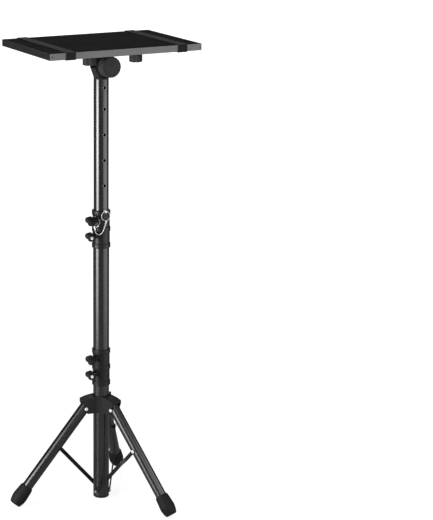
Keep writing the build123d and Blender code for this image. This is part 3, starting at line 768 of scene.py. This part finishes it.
def make_insert(knob):
    """Bright domed insert in the lower lobe of a low wing knob."""
    low, high = (Vector(p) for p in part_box(knob + "_wing"))
    axis = Vector((math.cos(KNOB_BEARING), math.sin(KNOB_BEARING), 0.0))
    level = Vector((-math.sin(KNOB_BEARING + math.pi), math.cos(KNOB_BEARING + math.pi), 0.0))
    lobe = Vector((0.0, 0.0, math.cos(LOBE_TURN))) + level * math.sin(LOBE_TURN)
    cross = axis.cross(lobe)
    out = -lobe * math.cos(INSERT_TURN) - cross * math.sin(INSERT_TURN)
    seat = axis * INSERT_OUT + Vector((0.0, 0.0, (low.z + high.z) / 2)) - lobe * LOBE_AT + out * LOBE_R
    bm = bmesh.new()
    lathe(bm, INSERT_PROFILE, seat, out)
    insert = shade_smooth(mesh_object(knob + "_insert", bm))
    dress(insert, plating)
    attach(insert, knob + "_knob")


def run(start, end):
    """Points from start toward end, a strap's step apart, without the end itself."""
    count = max(1, round((end - start).length / STRAP_STEP))
    return [start.lerp(end, i / count) for i in range(count)]


def bend(centre, first, last):
    """Points round a strap's corner, from one bearing to the other in degrees."""
    path = []
    for i in range(STRAP_BEND_STEPS):
        angle = math.radians(first + (last - first) * i / STRAP_BEND_STEPS)
        path.append(centre + STRAP_CORNER * Vector((math.cos(angle), math.sin(angle))))
    return path


def strap_path():
    """Strap's middle line (y, z): once round the tray from under it, then on below its own start."""
    low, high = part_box("tray_edge_band")
    front, back = low[1] - STRAP_STAND, high[1] + STRAP_STAND
    under, top = low[2] - STRAP_STAND, high[2] + STRAP_STAND
    front_turn, back_turn = front + STRAP_CORNER, back - STRAP_CORNER
    under_turn, top_turn = under + STRAP_CORNER, top - STRAP_CORNER
    lap = STRAP_LAP / 2
    leaves = Vector((-lap - LAP_LEAVES, under))
    lapped = under - STRAP_THICK - LAP_GAP
    arrives = Vector((-lap - LAP_ARRIVES, lapped))
    end = Vector((lap, lapped))
    path = run(Vector((-lap, under)), Vector((back_turn, under)))
    path += bend(Vector((back_turn, under_turn)), -90, 0)
    path += run(Vector((back, under_turn)), Vector((back, top_turn)))
    path += bend(Vector((back_turn, top_turn)), 0, 90)
    path += run(Vector((back_turn, top)), Vector((front_turn, top)))
    path += bend(Vector((front_turn, top_turn)), 90, 180)
    path += run(Vector((front, top_turn)), Vector((front, under_turn)))
    path += bend(Vector((front_turn, under_turn)), 180, 270)
    path += run(Vector((front_turn, under)), leaves)
    path += run(leaves, arrives) + run(arrives, end) + [end]
    return path


def strap_section():
    """Strap's section (across, off the middle line): flat, thicker at the selvages, round at the sides."""
    half, thick = STRAP_WIDTH / 2, STRAP_THICK / 2
    selvage = [(-half + inset, share) for inset, share in SELVAGE]
    cloth = [(x * half, CLOTH_SHARE) for x in (-0.5, 0.0, 0.5)]
    shape = selvage + cloth + [(-x, share) for x, share in reversed(selvage)]
    upper = [(x, share * thick) for x, share in shape]
    return upper + [(x, -n) for x, n in reversed(upper)]


def make_strap(side):
    """Woven band round the tray, with the stitching of its lap."""
    node = "strap_" + side
    low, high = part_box(node)
    middle = (low[0] + high[0]) / 2
    path = strap_path()
    section = strap_section()
    bm = bmesh.new()
    weave = bm.loops.layers.uv.new("weave")
    travelled = 0.0
    rows = []
    for i, place in enumerate(path):
        before, after = path[max(i - 1, 0)], path[min(i + 1, len(path) - 1)]
        along = (after - before).normalized()
        off = Vector((along.y, -along.x))
        if i:
            travelled += (place - path[i - 1]).length
        drift = DRIFT * math.sin(travelled * DRIFT_RATE + DRIFT_PHASE[side])
        row = []
        for x, n in section:
            at = place + off * n
            row.append((bm.verts.new((middle + drift + x, at.x, at.y)), x, travelled))
        rows.append(row)

    def face(corners):
        made = bm.faces.new([vert for vert, x, s in corners])
        for loop, (vert, x, s) in zip(made.loops, corners):
            loop[weave].uv = (x + STRAP_WIDTH, s)

    for one, two in zip(rows, rows[1:]):
        for k in range(len(section)):
            after = (k + 1) % len(section)
            face((one[k], one[after], two[after], two[k]))
    face(rows[0])
    face(rows[-1])
    bmesh.ops.recalc_face_normals(bm, faces=bm.faces)
    strap = shade_smooth(mesh_object(node + "_band", bm))
    stand_for(strap, node, materials["webbing"])
    stitches = make_stitches(node, middle, path[-1].y - STRAP_THICK / 2)


def make_stitches(node, middle, level):
    """Box of stitches with a cross in it, at each end of the strap's lap."""
    half = STITCH_BOX / 2
    corners = [Vector((x * half, y * half)) for x, y in ((-1, -1), (1, -1), (1, 1), (-1, 1))]
    seams = list(zip(corners, corners[1:] + corners[:1]))
    seams += [(corners[0], corners[2]), (corners[1], corners[3])]
    shape = Matrix.Diagonal((*STITCH_HALVES, 1.0))
    bm = bmesh.new()
    for centre in (STRAP_LAP / 2 - half - STITCH_MARGIN, -STRAP_LAP / 2 + half + STITCH_MARGIN):
        for start, end in seams:
            count = round((end - start).length / STITCH_PITCH)
            heading = math.atan2(end.y - start.y, end.x - start.x)
            for i in range(count):
                at = start.lerp(end, (i + 0.5) / count)
                place = Matrix.Translation((middle + at.x, centre + at.y, level))
                turned = place @ Matrix.Rotation(heading, 4, "Z") @ shape
                bmesh.ops.create_icosphere(bm, subdivisions=2, radius=1.0, matrix=turned)
    stitches = shade_smooth(mesh_object(node + "_stitches", bm))
    dress(stitches, sewing_thread())
    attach(stitches, "tray")
    return stitches


make_lanyard()
make_rings()
make_burrs()
make_roofs()
make_edge_pins()
make_flare()
for name in nodes:
    if name.endswith("_wing"):
        soften(name, *MOULDED_WING)
    elif name.endswith("_foot"):
        soften(name, *MOULDED_FOOT)
    elif name.startswith("brace_") and not name.endswith("_rivet"):
        soften(name, *MOULDED_BRACE)
soften("tilt_knob", *MOULDED_KNOB)
soften("tray_screws", *MOULDED_SCREWS)
for knob in ("upper_low", "lower_low"):
    make_insert(knob)
for side in ("left", "right"):
    make_strap(side)


def make_floor():
    """A pale floor: white to the camera, with the stand's shadow and a faint reflection on it."""
    bm = bmesh.new()
    bmesh.ops.create_grid(bm, x_segments=1, y_segments=1, size=FLOOR_REACH)
    floor = mesh_object("floor", bm)
    m = Nodes("floor")
    speckle = m.noise(30.0, 3.0)
    grey = m.ramp(speckle, (0.3, (0.25, 0.25, 0.25)), (0.7, (0.27, 0.27, 0.27)))
    m.join(grey, m.shader.inputs["Base Color"])
    m.fixed(Roughness=0.12, IOR=1.12)
    path = m.add("ShaderNodeLightPath")
    length = m.add("ShaderNodeVectorMath", operation="LENGTH")
    m.join(m.place.outputs["Object"], length.inputs[0])
    white = m.span(length.outputs["Value"], FLOOR_NEAR, 1.0, *FLOOR_FADE)
    seen = m.math("MAXIMUM", path.outputs["Is Camera Ray"], path.outputs["Is Transmission Ray"])
    mirrored = m.math("MULTIPLY", path.outputs["Is Glossy Ray"], FLOOR_MIRRORED)
    glow = m.math("MULTIPLY", white, m.math("MAXIMUM", seen, mirrored))
    m.shader.inputs["Emission Color"].default_value = (1.0, 1.0, 1.0, 1.0)
    m.join(glow, m.shader.inputs["Emission Strength"])
    floor.data.materials.append(m.material)


def make_world():
    """White behind the stand for the camera; in reflections, a white backdrop between darker studio walls."""
    world = bpy.data.worlds.new("studio")
    scene.world = world
    world.use_nodes = True
    world.cycles.sampling_method = "NONE"
    tree = world.node_tree
    add = tree.nodes.new
    join = tree.links.new
    background = tree.nodes["Background"]
    path = add("ShaderNodeLightPath")
    place = add("ShaderNodeTexCoord")
    turn = add("ShaderNodeMapping")
    turn.inputs["Rotation"].default_value = (0.0, 0.0, -math.atan2(CAMERA_AT.y, CAMERA_AT.x))
    bearing = add("ShaderNodeTexGradient")
    bearing.gradient_type = "RADIAL"
    walls = add("ShaderNodeValToRGB")
    elements = walls.color_ramp.elements
    while len(elements) < len(WALLS):
        elements.new(0.5)
    for element, (degrees, level) in zip(elements, WALLS):
        element.position = 0.5 + degrees / 360
        element.color = (level, level, level, 1.0)
    join(place.outputs["Generated"], turn.inputs["Vector"])
    join(turn.outputs["Vector"], bearing.inputs["Vector"])
    join(bearing.outputs["Fac"], walls.inputs["Fac"])
    seen = add("ShaderNodeMath")
    seen.operation = "MAXIMUM"
    join(path.outputs["Is Camera Ray"], seen.inputs[0])
    join(path.outputs["Is Transmission Ray"], seen.inputs[1])
    room = add("ShaderNodeMix")
    room.inputs["A"].default_value = ROOM_LEVEL
    join(path.outputs["Is Glossy Ray"], room.inputs["Factor"])
    join(walls.outputs["Color"], room.inputs["B"])
    level = add("ShaderNodeMath")
    level.operation = "MAXIMUM"
    join(seen.outputs["Value"], level.inputs[0])
    join(room.outputs["Result"], level.inputs[1])
    join(level.outputs["Value"], background.inputs["Strength"])
    background.inputs["Color"].default_value = (1.0, 1.0, 1.0, 1.0)


def lamp(name, at, toward, width, height, radiance):
    """A rectangular lamp that shines evenly over its face, and that the camera doesn't see."""
    light = bpy.data.lights.new(name, "AREA")
    light.shape = "RECTANGLE"
    light.size = width
    light.size_y = height
    light.energy = radiance * math.pi * width * height
    obj = link(bpy.data.objects.new(name, light))
    obj.location = at
    obj.rotation_euler = (Vector(toward) - Vector(at)).to_track_quat("-Z", "Y").to_euler()
    obj.visible_camera = False


def make_lights():
    """The strips beside the stand, panel over panel, and the other lamps."""
    toward_camera = math.degrees(math.atan2(CAMERA_AT.y, CAMERA_AT.x))
    for name, (first, last), distance, panels in STRIPS:
        bearing = math.radians(toward_camera + (first + last) / 2)
        width = 2 * distance * math.tan(math.radians(last - first) / 2)
        for low, high, radiance in panels:
            middle = (low + high) / 2
            at = (distance * math.cos(bearing), distance * math.sin(bearing), middle)
            lamp(f"{name}_strip_{radiance:g}", at, (0.0, 0.0, middle), width, high - low, radiance)
    for settings in LAMPS:
        lamp(*settings)


def make_camera():
    data = bpy.data.cameras.new("camera")
    data.lens = CAMERA_LENS
    data.sensor_width = CAMERA_SENSOR
    data.shift_x = CAMERA_SHIFT
    data.clip_end = CAMERA_REACH
    camera = link(bpy.data.objects.new("camera", data))
    camera.location = CAMERA_AT
    camera.rotation_euler = CAMERA_LOOK.to_track_quat("-Z", "Y").to_euler()
    scene.camera = camera


make_floor()
make_world()
make_lights()
make_camera()
scene.view_settings.view_transform = "Standard"
